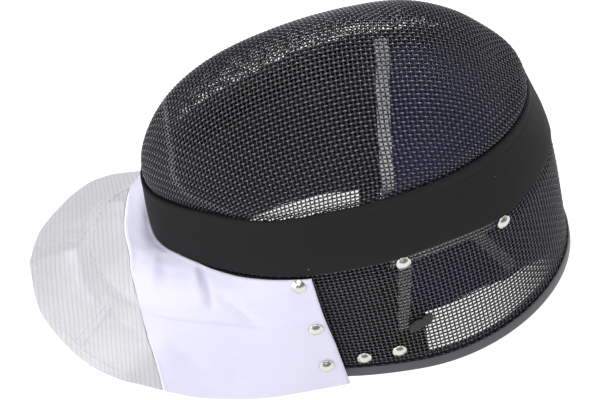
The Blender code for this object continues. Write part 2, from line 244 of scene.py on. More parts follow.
class Finish:
    """A surface finish, with plain values set on its shader and varying ones fed to it."""

    def __init__(self, name, **plain):
        self.material = bpy.data.materials.new(name)
        self.material.use_nodes = True
        self.tree = self.material.node_tree
        self.shader = self.tree.nodes["Principled BSDF"]
        for socket, value in plain.items():
            self.shader.inputs[socket.replace("_", " ")].default_value = value

    def node(self, kind, settings=None, inputs=None, output=0):
        """A new node with its settings and inputs, as the link that leaves its output."""
        node = self.tree.nodes.new("ShaderNode" + kind)
        for name, value in (settings or {}).items():
            if name == "stops":
                for spot, (place, colour) in enumerate(value):
                    stop = (node.color_ramp.elements[spot] if spot < 2
                            else node.color_ramp.elements.new(place))
                    stop.position, stop.color = place, colour
            else:
                setattr(node, name, value)
        for key, value in (inputs or {}).items():
            if isinstance(value, Link):
                self.tree.links.new(value.socket, node.inputs[key])
            else:
                node.inputs[key].default_value = value
        return Link(self, node.outputs[output])

    def feed(self, **varying):
        """Varying values to the shader's inputs."""
        for socket, link in varying.items():
            self.tree.links.new(link.socket, self.shader.inputs[socket.replace("_", " ")])

    def place(self):
        return self.node("TexCoord", output="Object")

    def part(self, vector, axis):
        """One axis of a vector."""
        return self.node("SeparateXYZ", {}, {0: vector}, axis)

    def noise(self, scale, detail=2.0):
        """Soft noise; scale is how fine, in swells to the metre."""
        inputs = {"Vector": self.place(), "Scale": scale, "Detail": detail}
        return self.node("TexNoise", {}, inputs, "Fac")

    def shade(self, amount, dark, light):
        """A colour between two, by amount."""
        return self.node("Mix", {"data_type": "RGBA"}, {0: amount, 6: dark, 7: light}, 2)

    def limited(self, value):
        """The value, kept between 0 and 1."""
        return self.node("Clamp", {}, {0: value})

    def bumped(self, height, distance, strength=1.0):
        return self.node("Bump", {}, {"Strength": strength, "Distance": distance, "Height": height})


def grey(value, cool=0.18):
    """A grey, a little blue unless told otherwise."""
    return (value, value, value * (1 + cool), 1.0)


def made(name, points, faces, finish, cloth=None):
    """A mesh from points in the mask's own millimetres, moved to the frame's metres."""
    mesh = bpy.data.meshes.new(name)
    places = (np.asarray(points, float) + (CENTRE_SHIFT, 0, 0)) * 0.001
    mesh.from_pydata(places.tolist(), [], [list(map(int, f)) for f in faces])
    if cloth is not None:
        layer = mesh.uv_layers.new(name="cloth")
        corner = np.zeros(len(mesh.loops), int)
        mesh.loops.foreach_get("vertex_index", corner)
        layer.data.foreach_set("uv", np.asarray(cloth, float)[corner].ravel())
    mesh.materials.append(finish.material)
    mesh.shade_smooth()
    obj = bpy.data.objects.new(name, mesh)
    bpy.context.scene.collection.objects.link(obj)
    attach(obj, "root")
    return obj


def enamel(name, tone, wear_and_glint):
    """Black enamel over steel, pooled unevenly, and lighter where a wire passes over its neighbour:
    partly rubbed thin, partly a painted highlight for the glint there; the last argument says how
    light it gets. Past 1, over marks the painted highlight along the bend round the chin."""
    coat = Finish(name, IOR=1.5)
    pool = coat.noise(420, 3)
    patchy = coat.noise(60, 2)
    place = coat.node("UVMap", {"uv_map": "cloth"})
    over, outside = coat.part(place, "X"), coat.part(place, "Y")
    # Painted highlight, partly wear: the enamel turns lighter and more metallic on the outer side of
    # each crossing's crest, where the lamps would glint.
    crest = coat.limited((over - 0.55) * 2.4) * coat.limited(outside * 2.2 - 0.6)
    crest = crest * (0.55 + patchy * 0.9)
    # A painted highlight: flat light grey along the chin's bend, on the wires' outer side.
    painted_edge_glint = coat.limited(over - 1.0) * coat.limited(outside * 2.0) * coat.limited(patchy * 3.0 - 0.7)
    enamelled = coat.shade(pool, grey(tone * 0.6), grey(tone * 1.6))
    enamelled = coat.shade(coat.limited(crest), enamelled, grey(wear_and_glint))
    coat.feed(Base_Color=coat.shade(painted_edge_glint, enamelled, grey(0.15)),
              Metallic=coat.limited(crest * 0.6),
              Roughness=0.22 + patchy * 0.20,
              Normal=coat.bumped(pool, 0.00006, 0.35))
    return coat


net = np.concatenate([quarter(-1, TO_CHIN, TO_SIDE)[:0:-1], quarter(1, TO_CROWN, TO_SIDE)])
net = np.concatenate([net[:, :0:-1] * (1, -1), net], 1)
nodes = pressed_face(net[..., 0], net[..., 1])
nudge = 1e-4
out = unit(np.cross(pressed_face(net[..., 0] + nudge, net[..., 1]) - nodes,
                    pressed_face(net[..., 0], net[..., 1] + nudge) - nodes))
away = np.hypot(net[..., 0], net[..., 1])
# The wires lie just under the outer face, and near the band they tuck in behind it.
FACE_INSET, FACE_TUCK, TUCK_REACH = 1.0, 2.9, 0.19
tuck = FACE_TUCK * ramp(away, 1 - TUCK_REACH, 1) ** 2
tucked = nodes - out * (FACE_INSET + tuck)[..., None]
on_face = np.isfinite(away) & (away < SKIRT_END)
parity = np.add.outer(np.arange(net.shape[0]), np.arange(net.shape[1])) % 2 * 2.0 - 1


def face_lines(swap):
    """The face's wires one way, or the other way when swapped."""
    grid = [g.swapaxes(0, 1) if swap else g for g in (tucked, out, on_face, parity)]
    lines = []
    for place, up, here, over in zip(*grid):
        edges = np.flatnonzero(np.diff(np.r_[0, here.astype(int), 0]))
        for start, stop in zip(edges[::2], edges[1::2]):
            if stop - start > 2:
                part = slice(start, stop)
                lines.append(crimped(place[part], up[part], over[part] * (-1 if swap else 1)))
    return lines


# Along a soft bend round the chin, down to the band, the enamel gets a painted highlight: a line
# of lighter grey where that bend would glint.
CHIN_GLINT_LINE = [(-111.8, 0, 176), (-111.6, 11, 173), (-110.9, 25, 160), (-111.6, 29.5, 149),
             (-109, 34.6, 142), (-103.8, 39.2, 138), (-98.3, 43.2, 136.8), (-79.4, 54.3, 134.2)]
GLINT_LINE_WIDTH, GLINT_LINE_POINTS = 2.0, 70
stations = np.arange(len(CHIN_GLINT_LINE))
places = np.linspace(0, stations[-1], GLINT_LINE_POINTS)
chin_glint_line = np.stack([np.interp(places, stations, axis) for axis in zip(*CHIN_GLINT_LINE)], -1)
# The wires running along the face take the lighter crests, for only they glint under the lamps: a
# painted highlight.
for name, swap, wear_and_glint in (("face_wires_across", False, 0.06), ("face_wires_along", True, 0.17)):
    points, faces, over = wires(face_lines(swap))
    mirrored = np.c_[points[:, 0], np.abs(points[:, 1]), points[:, 2]]
    off = np.min([np.linalg.norm(mirrored - at, axis=1) for at in chin_glint_line], 0)
    # Over is lifted past 1 along the chin line, where the enamel takes its painted highlight.
    over[:, 0] += 2 * hill(off, 0, GLINT_LINE_WIDTH)
    woven = made(name, points, faces, enamel(f"{name}_enamel", 0.005, wear_and_glint), over)
    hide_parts("face_mesh")

# The side wall is the same woven wire, cut as a strip, bent round the head and left unpressed,
# so its cells stay square. It stands in the rim's groove and ends behind the band.
SIDE_RADIUS = 0.59
SIDE_ROUND = 242
SIDE_LEVELS = np.linspace(0.015, 1.030, 37)
SIDE_LEAN, SIDE_INSET, SIDE_TUCK, TUCK_LEVELS = 0.056, 2.2, 1.9, (0.88, 1.02)
UPRIGHT_CRIMP, HOOP_CRIMP = 0.45, 0.30


def wall(theta, level):
    """The side wall's outer face; level is 0 at the rim, 1 at the band's foot and 1.6 at its top."""
    levels = [r[0] for r in RINGS]
    row = {"level": level}
    for i, name in enumerate(RING_COLUMNS[1:], 1):
        row[name] = through(levels, [r[i] for r in RINGS], np.clip(level, 0, TOP_LEVEL))
    return ring(theta, row)


def square(surface, u, v, step=1e-3):
    """Unit normals of a surface."""
    return unit(np.cross(surface(u + step, v) - surface(u - step, v),
                         surface(u, v + step) - surface(u, v - step)))


def wall_square(theta, level):
    """Unit normals of the wall, outwards."""
    return square(wall, theta, np.clip(level, 0.002, TOP_LEVEL - 0.002))


def evenly(count, level):
    """Angles round the wall that divide one of its rings into equal lengths."""
    theta = np.linspace(0, 2 * np.pi, 1441)
    line = wall(theta, level + 0 * theta)
    run = np.r_[0, np.cumsum(np.linalg.norm(np.diff(line, axis=0), axis=1))]
    return np.interp(np.linspace(0, run[-1], count, endpoint=False), run, theta)


around, up = np.meshgrid(evenly(SIDE_ROUND, 0.5), SIDE_LEVELS, indexing="ij")
around = around - SIDE_LEAN * (0.5 - up) * np.sin(around)
side_out = wall_square(around, up)
tuck = SIDE_TUCK * ramp(up, *TUCK_LEVELS)
side_nodes = wall(around, up) - side_out * (SIDE_INSET + tuck)[..., None]
side_over = np.add.outer(np.arange(SIDE_ROUND), np.arange(len(SIDE_LEVELS))) % 2 * 2.0 - 1
uprights = [crimped(*column, UPRIGHT_CRIMP) for column in zip(side_nodes, side_out, side_over)]
hoops = [crimped(side_nodes[:, j], side_out[:, j], -side_over[:, j], HOOP_CRIMP, hoop=True)
         for j in range(len(SIDE_LEVELS))]
# The round hoops take lighter crests than the uprights, for they glint more under the lamps: a painted
# highlight.
for name, lines, round_trip, wear_and_glint in (("side_wires_upright", uprights, False, 0.08),
                                      ("side_wires_round", hoops, True, 0.15)):
    points, faces, over = wires(lines, SIDE_RADIUS, hoops=round_trip)
    woven = made(name, points, faces, enamel(f"{name}_enamel", 0.006, wear_and_glint), over)
    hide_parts("side_mesh")

# The band is a broad black cloth webbing, wrapped tight round the joint of the two meshes and
# folded over to a slight bead at its upper edge.
BAND_WALL, BAND_INSET = 2.4, 0.15
BAND_ROUND = 300
BEAD_LEVEL, FOLD_LEVEL = 1.565, 1.515
RIB_PITCH, RIB_DEPTH = 0.023, 0.035


def steps(start, stop, count, edge):
    """Even steps with closer ones at both ends, where the edge is rolled."""
    close = np.array([0, 0.1, 0.3, 0.6, 1.0]) * edge
    middle = np.linspace(close[-1], 1 - close[-1], count)[1:-1]
    return start + (stop - start) * np.r_[close, middle, 1 - close[::-1]]


def waves(x, y, size, seed=0):
    """Soft uneven swelling between about -1 and 1, from crossed waves of several lengths."""
    total = 0
    crossed = [(1.0, 0.3, 1.0), (-0.6, 0.9, 1.7), (0.2, -1.1, 2.3), (0.9, 0.8, 3.1)]
    for k, (a, b, f) in enumerate(crossed):
        total = total + np.sin((a * x + b * y) * f * 2 * np.pi / size + 1.3 * k + seed) / (1 + k * 0.7)
    return total / 2.2


def shell(name, skin, out, thick, finish, closed=False):
    """A cloth wall of even thickness with rolled edges, grown inwards from its outer skin."""
    n, m = skin.shape[:2]
    reach = []
    for axis in (1,) if closed else (0, 1):
        seg = np.linalg.norm(np.diff(skin, axis=axis), axis=-1)
        run = np.concatenate([np.zeros_like(seg.take([0], axis)), np.cumsum(seg, axis)], axis)
        reach.append(np.minimum(run, run.take([-1], axis) - run))
    r = thick / 2
    near = np.clip(np.minimum.reduce(reach) / r, 0, 1)
    inset = r * (1 - np.sqrt(1 - (1 - near) ** 2))[..., None] * 0.98
    outer, inner = skin - out * inset, skin - out * (thick - inset)
    a = np.arange(n * m).reshape(n, m)
    turned = np.roll(a, -1, 0) if closed else a[1:]
    kept = a if closed else a[:-1]
    quads = np.stack([kept[:, :-1], turned[:, :-1], turned[:, 1:], kept[:, 1:]], -1).reshape(-1, 4)
    back = quads[:, ::-1] + n * m
    rims = [np.stack([kept[:, 0], kept[:, 0] + n * m, turned[:, 0] + n * m, turned[:, 0]], -1),
            np.stack([turned[:, -1], turned[:, -1] + n * m, kept[:, -1] + n * m, kept[:, -1]], -1)]
    if not closed:
        rims += [np.stack([a[0, 1:], a[0, 1:] + n * m, a[0, :-1] + n * m, a[0, :-1]], -1),
                 np.stack([a[-1, :-1], a[-1, :-1] + n * m, a[-1, 1:] + n * m, a[-1, 1:]], -1)]
    faces = np.concatenate([quads, back, *rims])
    middle = np.einsum("ij,ij->i", np.cross(*(skin.reshape(-1, 3)[quads[:, k]]
                                              - skin.reshape(-1, 3)[quads[:, 0]] for k in (1, 2))),
                       out.reshape(-1, 3)[quads[:, 0]]).sum()
    if middle < 0:
        faces = faces[:, ::-1]
    lengths = []
    for axis in (0, 1):
        seg = np.linalg.norm(np.diff(skin, axis=axis), axis=-1).mean(1 - axis)
        run = np.r_[0, np.cumsum(seg)]
        lengths.append(run[:, None] + 0 * a if axis == 0 else run[None, :] + 0 * a)
    cloth = np.stack(lengths, -1).reshape(-1, 2)
    return made(name, np.concatenate([outer.reshape(-1, 3), inner.reshape(-1, 3)]), faces, finish,
                np.concatenate([cloth, cloth]))


def woven_cloth(name, dark, light, threads, rough, depth, sheen=0.0, lint=0.0):
    """Plain cloth: threads to the millimetre, uneven dye, and lint if it holds any."""
    cloth = Finish(name, Sheen_Weight=sheen, Sheen_Roughness=0.5, IOR=1.45, Specular_IOR_Level=0.15)
    flat = cloth.node("UVMap", {"uv_map": "cloth"})
    across, along = cloth.part(flat, "X"), cloth.part(flat, "Y")
    pull = cloth.noise(300, 2)
    warp = (across * (2 * math.pi * threads) + pull * 2.0).wave()
    weft = (along * (2 * math.pi * threads) + pull * 2.0).wave()
    weave = warp * weft * 0.5 + 0.5
    blotch = cloth.noise(28, 4)
    tone = blotch * 0.65 + weave * 0.35
    colour = cloth.shade(tone, dark, light)
    if lint:
        speck = cloth.node("TexVoronoi", {"feature": "F1"}, {"Vector": cloth.place(), "Scale": 95.0,
                                                            "Randomness": 1.0}, "Distance")
        rare = cloth.noise(38, 1).over(0.63)
        colour = cloth.shade((0.045 - speck).over(0.0) * rare * lint, colour, grey(0.35))
    cloth.feed(Base_Color=colour, Roughness=rough - 0.08 + blotch * 0.16,
               Normal=cloth.bumped(weave + blotch * 0.8, depth, 0.5))
    return cloth


theta = np.linspace(0, 2 * np.pi, BAND_ROUND, endpoint=False)
around, up = np.meshgrid(theta, steps(1.0, TOP_LEVEL, 56, 0.045), indexing="ij")
band_out = wall_square(around, up)
puckers = 0.10 * waves(around * 90, up * 80, 46) + 0.05 * waves(around * 90, up * 80, 11, 2)
fold = 0.22 * hill(up, BEAD_LEVEL, 0.022) - 0.16 * hill(up, FOLD_LEVEL, 0.012)
ribs = RIB_DEPTH * np.sin(up * 2 * np.pi / RIB_PITCH) * (0.6 + 0.4 * waves(around * 90, up * 80, 60, 4))
band_skin = wall(around, up) + band_out * (puckers + fold + ribs - BAND_INSET)[..., None]
band_cloth = woven_cloth("band_cloth", grey(0.009, 0.08), grey(0.016, 0.08), 1.6, 0.78, 0.00006,
                         sheen=0.03, lint=0.5)
band = shell("band", band_skin, band_out, BAND_WALL, band_cloth, closed=True)
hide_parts("seam_band")

# The rim trim is an extruded rubber channel, pushed over the cut edge of the side wall and
# glued; the mask rests on its flat underside.
TRIM_WIDTH, TRIM_HEIGHT, INNER_HEIGHT = 4.7, 8.6, 12.0
GROOVE, GROOVE_FLOOR, CORNER_RADIUS = 1.3, 2.2, 0.7
TRIM_ROUND = 420


def rounded(corners, radius, count=4):
    """A closed outline with its corners rounded off."""
    points = []
    corners = np.asarray(corners, float)
    for before, at, after in zip(np.roll(corners, 1, 0), corners, np.roll(corners, -1, 0)):
        a, b = before - at, after - at
        r = min(radius, 0.45 * np.linalg.norm(a), 0.45 * np.linalg.norm(b))
        a, b = at + unit(a) * r, at + unit(b) * r
        for t in np.linspace(0, 1, count):
            points.append((1 - t) ** 2 * a + 2 * t * (1 - t) * at + t * t * b)
    return np.array(points)


half = TRIM_WIDTH / 2
section = rounded([(-half, 0), (half, 0), (half, TRIM_HEIGHT), (GROOVE, TRIM_HEIGHT),
                   (GROOVE, GROOVE_FLOOR), (-GROOVE, GROOVE_FLOOR), (-GROOVE, INNER_HEIGHT),
                   (-half, INNER_HEIGHT)], CORNER_RADIUS)
theta = np.linspace(0, 2 * np.pi, TRIM_ROUND, endpoint=False)
foot = wall(theta, 0 * theta)
outward = unit(wall_square(theta, 0.02 + 0 * theta) * (1, 1, 0))
lean = wall(theta, 0.08 + 0 * theta) - foot
lean = lean / lean[:, 2:]
trim = foot[:, None] + outward[:, None] * (section[:, :1] - SIDE_INSET) + lean[:, None] * section[:, 1:]
n, m = trim.shape[:2]
i, k = np.meshgrid(np.arange(n), np.arange(m), indexing="ij")
after, beside = (i + 1) % n * m, (k + 1) % m
quads = np.stack([i * m + k, after + k, after + beside, i * m + beside], -1)
rubber = Finish("trim_rubber", IOR=1.5, Coat_Roughness=0.35)
bloom = rubber.noise(45, 4)
grain = rubber.noise(900, 2)
rubber.feed(Base_Color=rubber.shade(bloom, grey(0.040), grey(0.062)),
            Roughness=0.36 + bloom * 0.2, Coat_Weight=bloom * 0.15,
            Normal=rubber.bumped(grain, 0.00004, 0.5))
rim = made("rim_channel", trim.reshape(-1, 3), quads.reshape(-1, 4), rubber)
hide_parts("rim_trim")

# The bib is a padded cloth skirt, riveted to the side wall: white panels at the throat and
# cheeks, and over the front a conductive panel of striped metallic cloth, sewn on in a seam.
BIB_WALL = 2.0
DEGREE_RUN, BIB_REACH = 1.6, 95
NECK_X = 8
BIB_STAND, BIB_TUCK, BIB_DROP = 1.9, 2.6, 0.7
PUFF_END, VALLEY_AT, VALLEY_WIDTH, VALLEY_SHARE = 0.62, 0.6, 0.085, 0.3
FAR_SAG, FAR_SLACK, FAR_NARROWS, FAR_SINKS = 11, 0.75, 0.08, 0.12
BIB_COLUMNS = ("angle", "hem_x", "hem_y", "hem_z", "puff", "valley")
BIB = [
    (-75, -9.5, 98.6, 0.8, 3, 0),
    (-70, -62, 101.5, 0.8, 4, 0),
    (-65, -100, 99.0, 4, 5, 0),
    (-58, -128, 98.5, 17, 6, 0),
    (-50, -150, 96.5, 28, 8, 1),
    (-40, -170.5, 88.0, 34, 10, 3),
    (-27, -194, 63.0, 39, 12, 7),
    (-13, -209, 33.0, 45, 13, 9),
    (0, -213, 0.0, 49, 13, 10),
]
SEAM = [(-100, -131.6), (-83, -137.6), (-67, -141.7), (-45, -144.7), (-34, -143.9), (-12, -145.5),
        (20, -142), (38, -139), (70, -133), (100, -131)]
PADDING_EDGE = [(-36, 0.50), (-26, 0.505), (-18, 0.475), (-7, 0.482), (-1, 0.432), (12, 0.283),
                (20, 0.20), (34, 0.15)]


def bib(angle, level):
    """The bib's outer face: degrees from the chin, level 0 at the band and 1 at the hem. Its far
    half lies lower and slacker than the near one, and sags between the band and the hem."""
    side = np.abs(angle)
    hem = {name: through([r[0] for r in BIB], [r[i] for r in BIB], -side)
           for i, name in enumerate(BIB_COLUMNS) if i}
    far = (angle > 0) * ramp(side, 0, 12) * ramp(side, 50, 15)
    slack = (angle > 0) * ramp(side, 8, 24) * ramp(side, 70, 58)
    sag = FAR_SAG * (angle > 0) * ramp(side, 16, 34) * ramp(side, 70, 60)
    hem_y, hem_z = hem["hem_y"] * (1 - FAR_NARROWS * far), hem["hem_z"] * (1 - FAR_SINKS * far)
    puff = hem["puff"] * (1 - FAR_SLACK * slack)
    top = wall(np.pi - np.radians(angle), 1.0 + 0 * angle)
    away = unit(np.stack([top[..., 0] - NECK_X, top[..., 1], 0 * top[..., 2]], -1))
    end = np.stack([hem["hem_x"], hem_y * np.sign(angle), hem_z], -1)
    stand = BIB_STAND - BIB_TUCK * ramp(side, 58, 28)[..., None]
    top = top + away * stand - np.array([0, 0, BIB_DROP])
    run = end - top
    along = unit(run)
    lift = away + np.array([0, 0, 1.0])
    lift = unit(lift - (lift * along).sum(-1, keepdims=True) * along)
    swell = puff * np.sin(np.pi * np.clip(level / PUFF_END, 0, 1)) ** 1.2
    swell = swell - VALLEY_SHARE * hem["valley"] * hill(level, VALLEY_AT, VALLEY_WIDTH)
    swell = swell - sag * np.sin(np.pi * np.clip(level, 0, 1) ** 0.8)
    return top + run * level[..., None] + lift * swell[..., None]


def bib_square(angle, level):
    """Unit normals of the bib, outwards."""
    n = square(bib, angle, np.clip(level, 0.02, 0.98), 1e-2)
    return n * np.sign(n[..., 2:] + 0.3)


def crease(angle, level, line, width, depth):
    """A fold along a line of (angle, level) points, fading at both ends."""
    reach = np.full(np.shape(angle), 1e9)
    along = np.zeros(np.shape(angle))
    total = len(line) - 1
    for k, ((a0, l0), (a1, l1)) in enumerate(zip(line, line[1:])):
        da, dl = (a1 - a0) * DEGREE_RUN, (l1 - l0) * BIB_REACH
        pa, pl = (angle - a0) * DEGREE_RUN, (level - l0) * BIB_REACH
        t = np.clip((pa * da + pl * dl) / (da * da + dl * dl), 0, 1)
        d = np.hypot(pa - t * da, pl - t * dl)
        closer = d < reach
        reach = np.where(closer, d, reach)
        along = np.where(closer, (k + t) / total, along)
    fade = np.sqrt(np.clip(4 * along * (1 - along), 0, 1)) * 0.75 + 0.25
    return -depth * hill(reach, 0, width) * fade


# Each crease of the white cloth: its line of (angle, level) points, its width and its depth.
WHITE_CREASES = [
    ([(-41, 0.02), (-43.5, 0.055), (-50.3, 0.158), (-55, 0.27)], 1.5, 3.4),
    ([(-39, 0.02), (-46, 0.14), (-53, 0.30)], 3.5, -1.8),
    ([(-54, 0.15), (-56.3, 0.193), (-63.2, 0.283), (-67.7, 0.403)], 2.4, 1.9),
    ([(-60, 0.17), (-67, 0.27)], 3.0, -1.2),
    ([(-25.6, 0.058), (-35.2, 0.177), (-42, 0.33)], 4.0, 1.5),
    ([(-19, 0.04), (-27, 0.14), (-37, 0.30)], 3.5, -1.0),
    ([(3.3, 0.083), (-12.2, 0.122), (-26.1, 0.238)], 3.5, 0.9),
    ([(-37.6, 0.485), (-49.2, 0.44), (-61.4, 0.367), (-71.6, 0.362)], 0.8, 1.1),
    ([(-50, 0.62), (-57, 0.70), (-60, 0.82)], 5.0, 2.2),
    ([(-65.4, 0.72), (-66.1, 0.83), (-66.6, 0.935)], 0.9, 0.9),
]


def white_folds(angle, level):
    """How far the white cloth stands off its plain shape, in millimetres."""
    flat = angle * DEGREE_RUN, level * BIB_REACH
    swell = 0.9 * waves(*flat, 60, 1) + 0.3 * waves(*flat, 19, 3)
    swell += 2.3 * hill(flat[1], 0, 15) * ramp(np.abs(angle), 60, 35)
    for line, width, depth in WHITE_CREASES:
        swell += crease(angle, level, line, width, depth)
    return swell


DART = [(-26.1, 0.568), (-28.4, 0.725), (-30.2, 0.932)]
MIDDLE = [(-0.1, 0.468), (6.1, 0.753), (7.6, 0.985)]


def lame_folds(angle, level):
    """How far the metallic cloth stands off its plain shape, in millimetres."""
    flat = angle * DEGREE_RUN, level * BIB_REACH
    crest = through(*zip(*PADDING_EDGE), np.clip(angle, -36, 34))
    swell = -0.9 * hill(level, crest + 0.035, 0.04) * ramp(np.abs(angle), 38, 30)
    swell += 0.5 * hill(level, crest - 0.05, 0.05)
    swell += crease(angle, level, DART, 1.8, 1.0)
    swell += crease(angle, level, MIDDLE, 1.2, 0.8)
    swell += 0.40 * waves(*flat, 42, 5) + 0.22 * waves(*flat, 13, 6)
    return swell


rolled_edge = np.array([74.3, 74.6, 74.85, 75])
turn = np.concatenate([-rolled_edge[::-1], np.linspace(-74, 74, 221), rolled_edge])
fine = np.linspace(0, 1, 241)
dense_angle, dense_level = np.meshgrid(turn, fine, indexing="ij")
dense = bib(dense_angle, dense_level)
past = dense[..., 0] - through(*zip(*SEAM), np.clip(dense[..., 1], -100, 100))
seam_level = np.ones(len(turn))
for i, gap in enumerate(past):
    crossed = np.flatnonzero((gap[:-1] > 0) & (gap[1:] <= 0))
    if len(crossed):
        k = crossed[0]
        seam_level[i] = fine[k] + gap[k] / (gap[k] - gap[k + 1]) * (fine[1] - fine[0])

white = woven_cloth("white_cloth", (0.665, 0.655, 0.80, 1), (0.71, 0.70, 0.84, 1), 2.2, 0.82, 0.00005,
                    sheen=0.1)
SEAM_GAP, SEAM_ROLL, TOP_ROLL = 0.004, 0.7, 0.5
WHITE_INSET, LAME_INSET = 0.3, 0.6
seam_at = seam_level[:, None]
level = steps(0, 1, 72, 0.012)[None, :] * (seam_at - SEAM_GAP * (seam_at < 1))
angle = turn[:, None] + 0 * level
bib_out = bib_square(angle, level)
edge_lift = SEAM_ROLL * hill((seam_at - level) * BIB_REACH, 0, 2.5) * (seam_at < 1)
edge_lift = edge_lift + TOP_ROLL * hill(level * BIB_REACH, 1.7, 1.0)
skin = bib(angle, level) + bib_out * (white_folds(angle, level) + edge_lift - WHITE_INSET)[..., None]
panel = shell("bib_cheeks_and_throat", skin, bib_out, BIB_WALL, white)
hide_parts("bib_white")

# The metallic cloth's stripes, threads and pull are in metres, as its finish sees the frame.
STRIPE_PITCH, WARP_PITCH, WEFT_PITCH, STRIPE_PULL = 0.0031, 0.0007, 0.0008, 0.0026
lame = Finish("lame_cloth", Specular_IOR_Level=0.4)
place_x, place_y = lame.part(lame.place(), "X"), lame.part(lame.place(), "Y")
pull = lame.noise(14, 3)
follow = place_y * place_y * 0.55 * lame.limited((place_x + 0.16) * 25.0)
stripe = ((place_x + follow + pull * STRIPE_PULL) * (2 * math.pi / STRIPE_PITCH)).wave()
thin = lame.limited((stripe - 0.45) * 2.2)
warp = (place_x * (2 * math.pi / WARP_PITCH)).wave()
weft = (place_y * (2 * math.pi / WEFT_PITCH)).wave()
threads = warp * weft * 0.5 + 0.5
blotch = lame.noise(32, 4)
grain = lame.noise(900, 2)
tone = lame.limited(thin * 0.75 * lame.noise(110, 3) + blotch * 0.25 + grain * 0.18)
lame.feed(Base_Color=lame.shade(tone, (0.605, 0.605, 0.635, 1), (0.39, 0.39, 0.415, 1)),
          Roughness=0.42 + threads * 0.2, Metallic=0.10 + threads * 0.15,
          Normal=lame.bumped(threads + stripe * 0.6, 0.00008, 0.6))
front = np.flatnonzero(seam_level < 0.999)
front = np.arange(front[0], front[-1] + 1)
start = seam_level[front][:, None] + 0.006
level = start + (1 - start) * steps(0, 1, 60, 0.025)[None, :]
angle = turn[front][:, None] + 0 * level
bib_out = bib_square(angle, level)
folds = lame_folds(angle, level) * np.clip((level - start) * 12, 0, 1)
skin = bib(angle, level) + bib_out * (folds - LAME_INSET)[..., None]
panel = shell("bib_lame_front", skin, bib_out, BIB_WALL, lame)
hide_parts("bib_lame")

# Lockstitching in pale thread holds the hem, the seam down the middle, the metallic panel's dart
# and the padding's edge; each stitch sinks a little into the cloth at both of its ends.
STITCH, SPACING, THREAD, THREAD_INSET = 2.1, 3.1, 0.24, 0.55
ALONG_STITCH, STITCH_RISE = np.array([(0, -0.25), (0.2, 0.12), (0.5, 0.22), (0.8, 0.12), (1, -0.25)]).T


def stitches(name, lines, finish):
    """Short sunk threads in rows along lines of (angle, level) on the bib."""
    parts = []
    for line in lines:
        line = np.asarray(line, float)
        t = np.linspace(0, len(line) - 1, 400)
        a = np.interp(t, np.arange(len(line)), line[:, 0])
        l = np.interp(t, np.arange(len(line)), line[:, 1])
        n = bib_square(a, l)
        path = bib(a, l) + n * (lame_folds(a, l) - THREAD_INSET)[:, None]
        run = np.r_[0, np.cumsum(np.linalg.norm(np.diff(path, axis=0), axis=1))]
        for s in np.arange(0.4, run[-1] - STITCH, SPACING):
            at = s + STITCH * ALONG_STITCH
            spot = np.stack([np.interp(at, run, path[:, c]) for c in range(3)], -1)
            up = np.stack([np.interp(at, run, n[:, c]) for c in range(3)], -1)
            parts.append((spot + up * STITCH_RISE[:, None], up, np.zeros(len(at))))
    return made(name, *wires(parts, THREAD)[:2], finish)


thread = Finish("bib_thread", Roughness=0.6)
thread.feed(Base_Color=thread.shade(thread.noise(300, 2), grey(0.52, 0.05), grey(0.68, 0.05)))
hem_row = [(a, 0.935 if abs(a) > 8 else 0.945) for a in np.linspace(-50, 50, 60)]
crest_angles = np.linspace(-36, 34, 40)
crest = through(*zip(*PADDING_EDGE), crest_angles)
crest_row = [[(a, c + d) for a, c in zip(crest_angles, crest)] for d in (-0.012, -0.035)]
dart_row = [[(a + d, l) for a, l in DART] for d in (-1.2, 1.2)]
middle_row = [[(a + d, l) for a, l in MIDDLE] for d in (-1.2, 1.2)]
sewn = stitches("bib_stitching", [hem_row, *crest_row, *dart_row, *middle_row], thread)

# The rivets are pressed nickel caps, domed, with a narrow flat flange that bites on the cloth or
# the wire. On either side three hold the bib's back edge, two sit under the band and two above
# the rim. CAP is a cap's outline from its crown out to the flange, as radius and height.
CAP = [(0.0, 2.4), (0.8, 2.36), (1.8, 2.12), (2.8, 1.66), (3.6, 1.12), (4.0, 0.78), (4.3, 0.62),
       (4.65, 0.55), (4.8, 0.4), (4.8, 0.0)]
CAP_SIDES, ON_CLOTH, ON_WIRE = 40, 0.45, -0.75
RIVETS = [
    ("bib_top", "bib", 71.7, 0.045),
    ("bib_mid", "bib", 73.7, 0.41),
    ("bib_low", "bib", 73.8, 0.78),
    ("band_front", "wall", 276.1, 0.947),
    ("band_back", "wall", 308.6, 0.947),
    ("rim_front", "wall", 263.8, 0.165),
    ("rim_back", "wall", 272.0, 0.19),
]
nickel = Finish("nickel", Metallic=1.0)
scuff = nickel.noise(700, 4)
nickel.feed(Base_Color=nickel.shade(nickel.noise(90, 2), grey(0.55, -0.09), grey(0.72, -0.09)),
            Roughness=0.16 + scuff * 0.20, Normal=nickel.bumped(scuff, 0.00003, 0.4))
